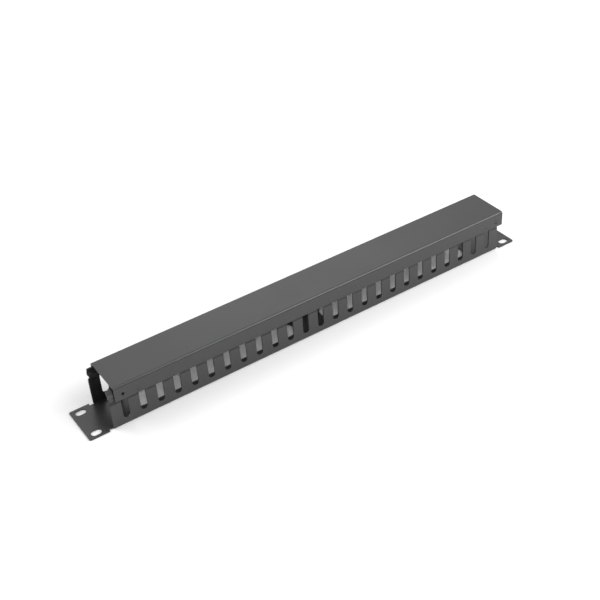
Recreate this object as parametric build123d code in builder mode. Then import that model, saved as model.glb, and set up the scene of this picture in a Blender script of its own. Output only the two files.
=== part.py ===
from build123d import *
from math import cos, radians, sin
import os

# Horizontal cable manager, one rack unit high, lying on its mounting face.
# X runs along the panel, Y across it, Z out of the rack. The origin is the panel's centre
# on the mounting face.

# Rack holes and panel
mount_pitch_x = 465.1
mount_pitch_y = 31.75
mount_slot_length = 10.0
mount_slot_width = 7.0
ear_overhang = 8.75
edge_margin = 5.925
panel_corner = 1.5
base_sheet = 1.2

# Comb walls, folded up from the floor between the rack's rails
rail_setback = 14.55
wall_setback = 0.3
fold_radius = 0.8
finger_width = 10.5
slot_width = 6.5
slot_floor = 7.0
slot_corner = 3.0
corner_flats = 4
lower_finger = 18.9

# Upper fingers: stepped inwards by a steep slope to take the cover's flange, with a neck, a
# snap bead and a tip that leans in
step_rise = 3.0
neck_depth = 1.1
neck_offset = 0.4
neck_straight = 2.6
neck_taper = 1.3
bead_out = 0.75
bead_ramp = 0.9
bead_crest = 1.7
tip_rise = 4.9
tip_lean = 1.4
tip_corner = 0.7

# Relief notches where the walls end, and cable windows in the floor
relief_length = 4.0
relief_depth = 2.6
window_width = 20.0
window_bridge = 31.2
window_end_margin = 27.3
window_shift = -1.6

# Cover, a folded sheet pushed over the fingers and left a little to one side
cover_sheet = 1.0
cover_fold_radius = 1.2
cover_clearance = 0.15
cover_overhang = 0.4
cover_head_gap = 1.0
cover_wall_gap = 2.5
cover_shift = 5.7
cover_hole = 3.4
cover_hole_inset = 8.2
cover_hole_drop = 9.5
dimple_radius = 2.0
dimple_depth = 0.5
dimple_inset = 21.7
dimple_drop = 11.6

# Sizes that follow
panel_length = mount_pitch_x + 2 * ear_overhang
panel_height = mount_pitch_y + 2 * edge_margin
duct_length = mount_pitch_x - 2 * rail_setback
wall_face = panel_height / 2 - wall_setback
cover_face = panel_height / 2 + cover_overhang
head_face = cover_face - cover_sheet - cover_clearance - bead_out
step_start = slot_floor + lower_finger
step_end = step_start + step_rise
neck_start = step_end + neck_offset
taper_start = neck_start + neck_straight
bead_start = taper_start + neck_taper
bead_end = bead_start + 2 * bead_ramp + bead_crest
finger_height = bead_end + tip_rise
slot_pitch = finger_width + slot_width
slot_count = int((duct_length - finger_width) // slot_pitch)
window_length = (duct_length - window_bridge - 2 * window_end_margin) / 2
cover_top = finger_height + cover_head_gap + cover_sheet
cover_bottom = step_start + cover_wall_gap

os.makedirs("parts", exist_ok=True)

# One finger's outer face from its tip down to the mounting face, as (y, z)
finger_face = [
    (head_face - tip_lean, finger_height),
    (head_face, bead_end),
    (head_face + bead_out, bead_end - bead_ramp),
    (head_face + bead_out, bead_start + bead_ramp),
    (head_face, bead_start),
    (head_face, step_end),
    (wall_face, step_start),
    (wall_face, 0),
]
trough_outside = finger_face + [(-y, z) for y, z in reversed(finger_face)]

# The opening between two fingers: bottom corners rounded in short flats, a pair of neck
# notches above the step, and cut-off corners at the finger tips
half_slot = slot_width / 2
bottom_radius = min(slot_corner, 0.45 * slot_width)
bottom_turns = [radians(90 * i / corner_flats) for i in range(corner_flats + 1)]
slot_bottom = [
    (half_slot - bottom_radius * (1 - sin(turn)), slot_floor + bottom_radius * (1 - cos(turn)))
    for turn in bottom_turns
]
with BuildSketch() as slot_outline:
    with BuildLine():
        Polyline(
            (0, slot_floor),
            *slot_bottom,
            (half_slot, neck_start),
            (half_slot + neck_depth, neck_start),
            (half_slot + neck_depth, taper_start),
            (half_slot, bead_start),
            (half_slot, finger_height - tip_corner),
            (half_slot + tip_corner, finger_height),
            (half_slot + tip_corner, finger_height + base_sheet),
            (0, finger_height + base_sheet),
        )
        mirror(about=Plane.YZ)
    make_face()

with BuildPart() as rack_panel:
    # Ears and floor
    with BuildSketch(Plane.XY) as plate:
        Rectangle(panel_length, panel_height)
        fillet(plate.vertices(), radius=panel_corner)
        with GridLocations(0, panel_height, 1, 2):
            Rectangle(duct_length + 2 * relief_length, 2 * relief_depth, mode=Mode.SUBTRACT)
    extrude(amount=base_sheet)
    # Floor and both comb walls as one folded strip
    with BuildSketch(Plane.YZ) as trough:
        with BuildLine():
            Polyline(*trough_outside)
            offset(amount=base_sheet, kind=Kind.INTERSECTION, side=Side.RIGHT)
        make_face()
        outer_folds = trough.vertices().group_by(Axis.Y)[0]
        inner_folds = trough.vertices().group_by(Axis.Y)[1]
        fillet(outer_folds, radius=fold_radius + base_sheet)
        fillet(inner_folds, radius=fold_radius)
    extrude(amount=duct_length / 2, both=True)
    # Slots between the fingers, and the same outline past each end for the end necks
    with BuildSketch(Plane.XZ) as comb:
        with GridLocations(slot_pitch, 0, slot_count, 1):
            add(slot_outline.sketch)
        with GridLocations(duct_length + slot_width, 0, 2, 1):
            add(slot_outline.sketch)
    extrude(amount=panel_height, both=True, mode=Mode.SUBTRACT)
    # Cable windows and rack slots
    with BuildSketch(Plane.XY) as openings:
        with Locations((window_shift, 0)):
            with GridLocations(window_length + window_bridge, 0, 2, 1):
                SlotOverall(window_length, window_width)
        with GridLocations(mount_pitch_x, mount_pitch_y, 2, 2):
            SlotOverall(mount_slot_length, mount_slot_width)
    extrude(amount=base_sheet, mode=Mode.SUBTRACT)

rack_panel.part.label = "rack_panel"
export_step(rack_panel.part, "parts/rack_panel.step")

with BuildPart() as cover:
    # Top and two flanges as one folded strip
    with BuildSketch(Plane.YZ.offset(cover_shift)) as channel:
        with BuildLine():
            Polyline(
                (-cover_face, cover_bottom),
                (-cover_face, cover_top),
                (cover_face, cover_top),
                (cover_face, cover_bottom),
            )
            offset(amount=cover_sheet, kind=Kind.INTERSECTION, side=Side.RIGHT)
        make_face()
        outer_folds = channel.vertices().group_by(Axis.Y)[-1]
        inner_folds = channel.vertices().group_by(Axis.Y)[-2]
        fillet(outer_folds, radius=cover_fold_radius + cover_sheet)
        fillet(inner_folds, radius=cover_fold_radius)
    extrude(amount=duct_length / 2, both=True)
    # A hole through each flange near both ends
    with BuildSketch(Plane.XZ) as holes:
        with Locations((cover_shift, cover_top - cover_hole_drop)):
            with GridLocations(duct_length - 2 * cover_hole_inset, 0, 2, 1):
                Circle(cover_hole / 2)
    extrude(amount=panel_height, both=True, mode=Mode.SUBTRACT)
    # Shallow round dimples pressed into the flanges
    with Locations((cover_shift, 0, cover_top - dimple_drop)):
        with GridLocations(
            duct_length - 2 * dimple_inset,
            2 * (cover_face + dimple_radius - dimple_depth),
            2,
            2,
        ):
            Sphere(dimple_radius, mode=Mode.SUBTRACT)

cover.part.label = "cover"
export_step(cover.part, "parts/cover.step")
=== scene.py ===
"""Looks for a horizontal cable manager: a slotted duct of black powder-coated sheet steel with a
lift-off cover, on a pale floor under soft studio light, with a black card for reflections.

It is laid out as an add-on and run as a script. Sizes are in metres, in the part's own frame:
X along the rack panel, Y across it, Z out of the rack.
"""

import bpy
import numpy as np
from mathutils import Matrix, Vector


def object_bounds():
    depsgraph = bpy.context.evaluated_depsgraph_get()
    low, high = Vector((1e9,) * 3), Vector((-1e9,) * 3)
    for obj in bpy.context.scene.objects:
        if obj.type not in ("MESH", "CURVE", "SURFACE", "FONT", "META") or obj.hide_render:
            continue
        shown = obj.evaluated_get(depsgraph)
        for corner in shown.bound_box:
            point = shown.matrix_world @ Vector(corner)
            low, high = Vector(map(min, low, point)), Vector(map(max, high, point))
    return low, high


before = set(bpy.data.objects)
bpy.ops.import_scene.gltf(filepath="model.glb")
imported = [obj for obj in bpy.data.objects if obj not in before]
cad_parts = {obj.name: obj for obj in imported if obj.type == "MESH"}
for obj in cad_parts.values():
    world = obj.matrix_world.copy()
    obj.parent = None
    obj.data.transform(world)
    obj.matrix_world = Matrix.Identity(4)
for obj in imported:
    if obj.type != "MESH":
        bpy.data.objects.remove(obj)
cad_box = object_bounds()

bl_info = {
    "name": "Horizontal cable manager",
    "version": (1, 0, 0),
    "blender": (4, 5, 0),
    "location": "View3D > Sidebar > Cable manager",
    "description": "Finishes of a cable manager one rack unit high, and the stage it lies on",
    "category": "Object",
}

# Sockets of a Mix node that blends colours, where names are shared with its other kinds
MIX_FACTOR, MIX_FROM, MIX_TO, MIX_RESULT = 0, 6, 7, 2


def linear(hex_colour):
    """sRGB hex to linear: c / 12.92 up to 0.04045, and ((c + 0.055) / 1.055) ** 2.4 above it."""
    c = np.array([int(hex_colour[i:i + 2], 16) / 255 for i in (0, 2, 4)])
    return tuple(np.where(c <= 0.04045, c / 12.92, ((c + 0.055) / 1.055) ** 2.4).tolist())


class PowderCoatSettings(bpy.types.PropertyGroup):
    """Black polyester powder, baked on folded sheet steel"""

    colour: bpy.props.FloatVectorProperty(
        name="Coat colour",
        description="Colour of the film where it is thick",
        subtype="COLOR", size=3, min=0, max=1, default=linear("272728"),
    )
    thin_colour: bpy.props.FloatVectorProperty(
        name="Thin coat colour",
        description="Colour in the dips of the film, where it is thinner",
        subtype="COLOR", size=3, min=0, max=1, default=linear("2d2d2e"),
    )
    roughness: bpy.props.FloatProperty(
        name="Roughness",
        description="Satin: broad, soft reflections with no sharp image",
        subtype="FACTOR", min=0, max=1, default=0.33,
    )
    roughness_drift: bpy.props.FloatProperty(
        name="Roughness drift",
        description="How far the gloss wanders from place to place",
        subtype="FACTOR", min=0, max=0.3, default=0.05,
    )
    drift_spacing: bpy.props.FloatProperty(
        name="Drift spacing",
        description="Distance between the places where the film is glossier or duller",
        unit="LENGTH", subtype="DISTANCE", min=0.01, max=0.5, default=0.06,
    )
    ior: bpy.props.FloatProperty(
        name="IOR",
        description="Refractive index of the baked film",
        min=1, max=3, default=1.62,
    )
    peel: bpy.props.FloatProperty(
        name="Orange peel spacing",
        description="Distance between the humps that the melted powder leaves",
        unit="LENGTH", subtype="DISTANCE", min=0.0005, max=0.02, default=0.0024,
    )
    peel_height: bpy.props.FloatProperty(
        name="Orange peel height",
        description="Height of the humps",
        unit="LENGTH", subtype="DISTANCE", min=0, max=0.0002, default=0.00002,
    )
    grain: bpy.props.FloatProperty(
        name="Grain spacing",
        description="Distance between the powder grains, drawn coarse enough to show",
        unit="LENGTH", subtype="DISTANCE", min=0.0001, max=0.005, default=0.0007,
    )
    edge_radius: bpy.props.FloatProperty(
        name="Edge radius",
        description="How round the film makes a cut edge of the sheet",
        unit="LENGTH", subtype="DISTANCE", min=0, max=0.001, default=0.0003,
    )


class StageSettings(bpy.types.PropertyGroup):
    """Floor, lamps and camera"""

    floor_size: bpy.props.FloatProperty(
        name="Floor size",
        description="Side of the square floor",
        unit="LENGTH", subtype="DISTANCE", min=1, max=50, default=5.0,
    )
    floor_colour: bpy.props.FloatVectorProperty(
        name="Floor colour",
        description="Colour of the floor",
        subtype="COLOR", size=3, min=0, max=1, default=linear("fafafa"),
    )
    floor_gap: bpy.props.FloatProperty(
        name="Floor gap",
        description="How far the floor lies under the part's mounting face",
        unit="LENGTH", subtype="DISTANCE", min=0, max=0.01, default=0.0002,
    )
    floor_glow: bpy.props.FloatProperty(
        name="Floor glow",
        description="Light added to the floor where a ray from the camera, a reflection or a "
                    "transmission meets it",
        min=0, max=1, default=0.05,
    )
    ceiling_light: bpy.props.FloatProperty(
        name="Ceiling light",
        description="Strength of the room's light from above",
        min=0, max=2, default=0.7,
    )
    horizon_light: bpy.props.FloatProperty(
        name="Horizon light",
        description="Strength of the room's light at the horizon",
        min=0, max=2, default=0.1,
    )
    horizon_height: bpy.props.FloatProperty(
        name="Horizon height",
        description="Angle over the horizon at which the ceiling's light is reached",
        subtype="ANGLE", min=0.05, max=1.5, default=0.65,
    )
    room_white: bpy.props.FloatProperty(
        name="Room white",
        description="Strength of the room where a ray from the camera, a reflection or a "
                    "transmission meets it",
        min=0, max=1, default=0.85,
    )
    flag_distance: bpy.props.FloatProperty(
        name="Flag distance",
        description="How far from the part the black card stands",
        unit="LENGTH", subtype="DISTANCE", min=0.5, max=7, default=1.5,
    )
    flag_height: bpy.props.FloatProperty(
        name="Flag height",
        description="Height of the black card",
        unit="LENGTH", subtype="DISTANCE", min=0, max=3, default=0.9,
    )
    flag_left: bpy.props.FloatProperty(
        name="Flag left end",
        description="Where the card ends at the left, as a turn from the front",
        subtype="ANGLE", min=-3, max=3, default=-1.9,
    )
    flag_right: bpy.props.FloatProperty(
        name="Flag right end",
        description="Where the card ends at the right, as a turn from the front",
        subtype="ANGLE", min=-3, max=3, default=0.65,
    )
    key_power: bpy.props.FloatProperty(
        name="Key lamp power",
        description="Power of the large lamp at the right front",
        unit="POWER", min=0, max=200, default=25.0,
    )
    key_place: bpy.props.FloatVectorProperty(
        name="Key lamp place",
        description="Centre of the large lamp",
        unit="LENGTH", subtype="TRANSLATION", size=3, default=(0.95, -1.00, 1.20),
    )
    key_size: bpy.props.FloatProperty(
        name="Key lamp size",
        description="Side of the square lamp",
        unit="LENGTH", subtype="DISTANCE", min=0.1, max=5, default=1.4,
    )
    top_power: bpy.props.FloatProperty(
        name="Top lamp power",
        description="Power of the lamp that the cover's top reflects",
        unit="POWER", min=0, max=200, default=2.2,
    )
    top_place: bpy.props.FloatVectorProperty(
        name="Top lamp place",
        description="Centre of the lamp at the right back",
        unit="LENGTH", subtype="TRANSLATION", size=3, default=(0.70, 1.35, 1.35),
    )
    top_size: bpy.props.FloatProperty(
        name="Top lamp size",
        description="Side of the square lamp",
        unit="LENGTH", subtype="DISTANCE", min=0.1, max=5, default=1.0,
    )
    fill_power: bpy.props.FloatProperty(
        name="Fill lamp power",
        description="Power of the lamp at the left back, which lightens the shadow on the floor",
        unit="POWER", min=0, max=200, default=6.5,
    )
    fill_place: bpy.props.FloatVectorProperty(
        name="Fill lamp place",
        description="Centre of the fill lamp",
        unit="LENGTH", subtype="TRANSLATION", size=3, default=(-0.95, 0.85, 1.2),
    )
    fill_size: bpy.props.FloatProperty(
        name="Fill lamp size",
        description="Side of the square lamp",
        unit="LENGTH", subtype="DISTANCE", min=0.1, max=5, default=1.0,
    )
    camera_place: bpy.props.FloatVectorProperty(
        name="Camera place",
        description="Where the camera stands",
        unit="LENGTH", subtype="TRANSLATION", size=3, default=(-0.44345, -0.71304, 0.65179),
    )
    camera_turn: bpy.props.FloatVectorProperty(
        name="Camera turn",
        description="Turn from +Y towards +X, tilt down, and roll",
        subtype="EULER", size=3,
        default=tuple(np.radians((31.400, 36.728, 4.369)).tolist()),
    )
    lens: bpy.props.FloatProperty(
        name="Lens",
        description="Focal length in millimetres, for a sensor 36 mm wide",
        unit="CAMERA", min=10, max=300, default=66.646,
    )


def add_node(tree, kind, sockets=None, links=None, **properties):
    """Adds one node: sockets gives values and links gives sources, by input name or number."""
    node = tree.nodes.new(kind)
    for name, value in properties.items():
        setattr(node, name, value)
    for key, value in (sockets or {}).items():
        node.inputs[key].default_value = value
    for key, source in (links or {}).items():
        tree.links.new(source, node.inputs[key])
    return node


def new_material(name):
    """A material with nodes, as itself, its node tree and its Principled shader."""
    material = bpy.data.materials.new(name)
    material.use_nodes = True
    tree = material.node_tree
    return material, tree, tree.nodes["Principled BSDF"]


def powder_coat(name, coat):
    """Satin black powder coat on steel. The eye gets an even, nearly black film that greys under
    a wide lamp, with faint humps like orange peel, a fine grain in the gloss, and cut edges that
    the film rounds a little."""
    patch_share, grain_share = 0.6, 0.4  # of the change in gloss
    noise_low, noise_high = 0.3, 0.7  # Noise stays mostly between these.
    grain_relief = 0.25  # height of the grain, as a share of the humps' height
    material, tree, shader = new_material(name)
    shader.inputs["IOR"].default_value = coat.ior
    place = add_node(tree, "ShaderNodeTexCoord").outputs["Object"]
    # A noise cell is about 1 / Scale wide, so each scale is one over a real spacing.
    peel = add_node(tree, "ShaderNodeTexNoise", {"Scale": 1 / coat.peel, "Detail": 2.0},
                    {"Vector": place}).outputs["Fac"]
    # Powder grains of about 0.05 mm are too fine to show, so they are drawn at grain spacing.
    grain = add_node(tree, "ShaderNodeTexNoise", {"Scale": 1 / coat.grain, "Detail": 1.0},
                     {"Vector": place}).outputs["Fac"]
    drift = add_node(tree, "ShaderNodeTexNoise",
                     {"Scale": 1 / coat.drift_spacing, "Detail": 3.0},
                     {"Vector": place}).outputs["Fac"]
    film = add_node(tree, "ShaderNodeMix",
                    {MIX_FROM: (*coat.thin_colour, 1), MIX_TO: (*coat.colour, 1)},
                    {MIX_FACTOR: peel}, data_type="RGBA")
    tree.links.new(film.outputs[MIX_RESULT], shader.inputs["Base Color"])
    patches = add_node(tree, "ShaderNodeMath", {1: patch_share}, {0: drift},
                       operation="MULTIPLY")
    mixed = add_node(tree, "ShaderNodeMath", {1: grain_share},
                     {0: grain, 2: patches.outputs[0]}, operation="MULTIPLY_ADD")
    gloss = add_node(
        tree, "ShaderNodeMapRange",
        {"From Min": noise_low, "From Max": noise_high,
         "To Min": coat.roughness - coat.roughness_drift,
         "To Max": coat.roughness + coat.roughness_drift},
        {"Value": mixed.outputs[0]},
    )
    tree.links.new(gloss.outputs["Result"], shader.inputs["Roughness"])
    soft_edge = add_node(tree, "ShaderNodeBevel", {"Radius": coat.edge_radius}, samples=4)
    relief = add_node(tree, "ShaderNodeMath", {1: grain_relief}, {0: grain, 2: peel},
                      operation="MULTIPLY_ADD")
    bump = add_node(tree, "ShaderNodeBump", {"Distance": coat.peel_height},
                    {"Height": relief.outputs[0], "Normal": soft_edge.outputs[0]})
    tree.links.new(bump.outputs[0], shader.inputs["Normal"])
    return material


def floor_paint(name, stage):
    """Matt white floor. A little light is added where the camera or a reflection sees it, so the
    ground goes white while the part's own shadow stays."""
    material, tree, shader = new_material(name)
    shader.inputs["Base Color"].default_value = (*stage.floor_colour, 1)
    shader.inputs["Roughness"].default_value = 0.9
    shader.inputs["Specular IOR Level"].default_value = 0.1
    shader.inputs["Emission Color"].default_value = (*stage.floor_colour, 1)
    tree.links.new(seen_directly(tree, stage.floor_glow), shader.inputs["Emission Strength"])
    return material


def flag_cloth(name):
    """Black wool felt: a deep matt black, with soft fibres that make it a little uneven."""
    tuft_width = 0.004  # tufts of fibre about 4 mm across
    between_tufts, on_tufts = linear("0c0c0d"), linear("161617")
    material, tree, shader = new_material(name)
    shader.inputs["Roughness"].default_value = 1.0
    shader.inputs["Specular IOR Level"].default_value = 0.1
    place = add_node(tree, "ShaderNodeTexCoord").outputs["Object"]
    tufts = add_node(tree, "ShaderNodeTexNoise", {"Scale": 1 / tuft_width}, {"Vector": place})
    shade = add_node(tree, "ShaderNodeMix",
                     {MIX_FROM: (*between_tufts, 1), MIX_TO: (*on_tufts, 1)},
                     {MIX_FACTOR: tufts.outputs["Fac"]}, data_type="RGBA")
    tree.links.new(shade.outputs[MIX_RESULT], shader.inputs["Base Color"])
    return material


def seen_directly(tree, level):
    """level where a camera, glossy or transmission ray arrives, and nothing for other rays."""
    ray = add_node(tree, "ShaderNodeLightPath").outputs
    camera_or_gloss = add_node(
        tree, "ShaderNodeMath",
        links={0: ray["Is Camera Ray"], 1: ray["Is Glossy Ray"]}, operation="MAXIMUM",
    )
    seen = add_node(
        tree, "ShaderNodeMath",
        links={0: camera_or_gloss.outputs[0], 1: ray["Is Transmission Ray"]},
        operation="MAXIMUM",
    )
    return add_node(tree, "ShaderNodeMath", {1: level}, {0: seen.outputs[0]},
                    operation="MULTIPLY").outputs[0]


def grid_object(name, points):
    """A mesh of quads from a grid of points with shape (rows, columns, 3), at the origin."""
    rows, columns = points.shape[:2]
    corner = (np.arange(rows - 1)[:, None] * columns + np.arange(columns - 1)).ravel()
    quads = np.stack((corner, corner + 1, corner + columns + 1, corner + columns), axis=1)
    mesh = bpy.data.meshes.new(name)
    mesh.from_pydata(points.reshape(-1, 3).tolist(), [], quads.tolist())
    mesh.update()
    made = bpy.data.objects.new(name, mesh)
    bpy.context.scene.collection.objects.link(made)
    return made


def lamp(name, place, size, power):
    """A square area lamp at a place, aimed at the middle of the part."""
    light = bpy.data.lights.new(name, "AREA")
    light.shape = "SQUARE"
    light.size = size
    light.energy = power
    made = bpy.data.objects.new(name, light)
    made.location = place
    middle = (Vector(cad_box[0]) + Vector(cad_box[1])) / 2
    made.rotation_euler = (middle - Vector(place)).to_track_quat("-Z", "Y").to_euler()
    bpy.context.scene.collection.objects.link(made)


def camera_matrix(place, turn, tilt, roll):
    """Camera axes as columns. The view direction is turned from +Y towards +X and tilted down;
    right and down start level and square to it, and both are then rolled about it."""
    ahead = np.array((np.sin(turn) * np.cos(tilt), np.cos(turn) * np.cos(tilt), -np.sin(tilt)))
    level = np.array((np.cos(turn), -np.sin(turn), 0.0))
    down = np.cross(ahead, level)
    right = np.cos(roll) * level + np.sin(roll) * down
    up = np.sin(roll) * level - np.cos(roll) * down
    return Matrix([(*row, at) for row, at in zip(np.stack((right, up, -ahead), 1), place)]
                  + [(0, 0, 0, 1)])


def coat_node(node, material):
    """Puts a material on a node of the frame, in place of its plain one."""
    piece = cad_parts[node]
    piece.data.materials.clear()
    piece.data.materials.append(material)


class CABLE_MANAGER_OT_coat_panel(bpy.types.Operator):
    """Powder-coat the rack panel with its two comb walls"""

    bl_idname = "cable_manager.coat_panel"
    bl_label = "Coat the rack panel"

    def execute(self, context):
        coat = context.scene.cable_manager_coat
        coat_node("rack_panel", powder_coat("powder_coated_steel_panel", coat))
        return {"FINISHED"}


class CABLE_MANAGER_OT_coat_cover(bpy.types.Operator):
    """Powder-coat the lift-off cover"""

    bl_idname = "cable_manager.coat_cover"
    bl_label = "Coat the cover"

    def execute(self, context):
        coat = context.scene.cable_manager_coat
        coat_node("cover", powder_coat("powder_coated_steel_cover", coat))
        return {"FINISHED"}


class CABLE_MANAGER_OT_stage(bpy.types.Operator):
    """Lay the floor, light the room and set the camera"""

    bl_idname = "cable_manager.stage"
    bl_label = "Set the stage"

    def execute(self, context):
        scene = context.scene
        stage = scene.cable_manager_stage
        # Floor: a flat grid of three by three points just under the part's mounting face.
        side = np.linspace(-stage.floor_size / 2, stage.floor_size / 2, 3)
        across, along = np.meshgrid(side, side)
        below = np.full_like(along, cad_box[0][2] - stage.floor_gap)
        floor = grid_object("floor", np.stack((across, along, below), axis=-1))
        floor.data.materials.append(floor_paint("matt_white_floor", stage))
        # Room: white light that grows from the horizon up to the ceiling.
        world = bpy.data.worlds.new("studio_room")
        world.use_nodes = True
        tree = world.node_tree
        sky = tree.nodes["Background"]
        sky.inputs["Color"].default_value = (1, 1, 1, 1)
        ahead = add_node(tree, "ShaderNodeTexCoord").outputs["Generated"]
        height = add_node(tree, "ShaderNodeSeparateXYZ", links={0: ahead}).outputs["Z"]
        strength = add_node(
            tree, "ShaderNodeMapRange",
            {"From Min": 0.0, "From Max": float(np.sin(stage.horizon_height)),
             "To Min": stage.horizon_light, "To Max": stage.ceiling_light},
            {"Value": height}, interpolation_type="SMOOTHSTEP",
        )
        # The camera, reflections and transmissions see the room as nearly white.
        shown = add_node(
            tree, "ShaderNodeMath",
            links={0: strength.outputs["Result"], 1: seen_directly(tree, stage.room_white)},
            operation="MAXIMUM",
        )
        tree.links.new(shown.outputs[0], sky.inputs["Strength"])
        scene.world = world
        # Black flag: an upright card bent round the front and the left, as a radius turned
        # about the part and carried upwards. Only reflections see it, as dark lines in the folds.
        columns = 33
        turns = np.linspace(stage.flag_left, stage.flag_right, columns)
        angle, height = np.meshgrid(turns, (0, stage.flag_height))
        card = np.stack((stage.flag_distance * np.sin(angle),
                         -stage.flag_distance * np.cos(angle), height), axis=-1)
        flag = grid_object("black_flag", card)
        flag.data.materials.append(flag_cloth("black_felt"))
        flag.visible_camera = False
        flag.visible_diffuse = False
        flag.visible_transmission = False
        flag.visible_shadow = False
        lamp("key_lamp", stage.key_place, stage.key_size, stage.key_power)
        lamp("top_lamp", stage.top_place, stage.top_size, stage.top_power)
        lamp("fill_lamp", stage.fill_place, stage.fill_size, stage.fill_power)
        camera = bpy.data.objects.new("camera", bpy.data.cameras.new("camera"))
        camera.data.sensor_width = 36
        camera.data.lens = stage.lens
        camera.matrix_world = camera_matrix(stage.camera_place, *stage.camera_turn)
        scene.collection.objects.link(camera)
        scene.camera = camera
        scene.view_settings.view_transform = "Standard"
        return {"FINISHED"}


class CABLE_MANAGER_PT_sidebar(bpy.types.Panel):
    """Lists the finishes and the stage"""

    bl_idname = "CABLE_MANAGER_PT_sidebar"
    bl_label = "Cable manager"
    bl_space_type = "VIEW_3D"
    bl_region_type = "UI"
    bl_category = "Cable manager"

    def draw(self, context):
        layout = self.layout
        for heading, settings, operators in (
            ("Powder coat", context.scene.cable_manager_coat, OPERATORS[:2]),
            ("Stage", context.scene.cable_manager_stage, OPERATORS[2:]),
        ):
            box = layout.box()
            box.label(text=heading)
            for name in settings.__annotations__:
                box.prop(settings, name)
            for operator in operators:
                box.operator(operator.bl_idname)


OPERATORS = (
    CABLE_MANAGER_OT_coat_panel,
    CABLE_MANAGER_OT_coat_cover,
    CABLE_MANAGER_OT_stage,
)
CLASSES = (PowderCoatSettings, StageSettings, *OPERATORS, CABLE_MANAGER_PT_sidebar)


def register():
    for cls in CLASSES:
        bpy.utils.register_class(cls)
    bpy.types.Scene.cable_manager_coat = bpy.props.PointerProperty(type=PowderCoatSettings)
    bpy.types.Scene.cable_manager_stage = bpy.props.PointerProperty(type=StageSettings)


def unregister():
    del bpy.types.Scene.cable_manager_coat
    del bpy.types.Scene.cable_manager_stage
    for cls in reversed(CLASSES):
        bpy.utils.unregister_class(cls)


def main():
    """Registers the add-on and makes every finish and the stage."""
    register()
    bpy.ops.cable_manager.coat_panel()
    bpy.ops.cable_manager.coat_cover()
    bpy.ops.cable_manager.stage()


if __name__ == "__main__":
    main()
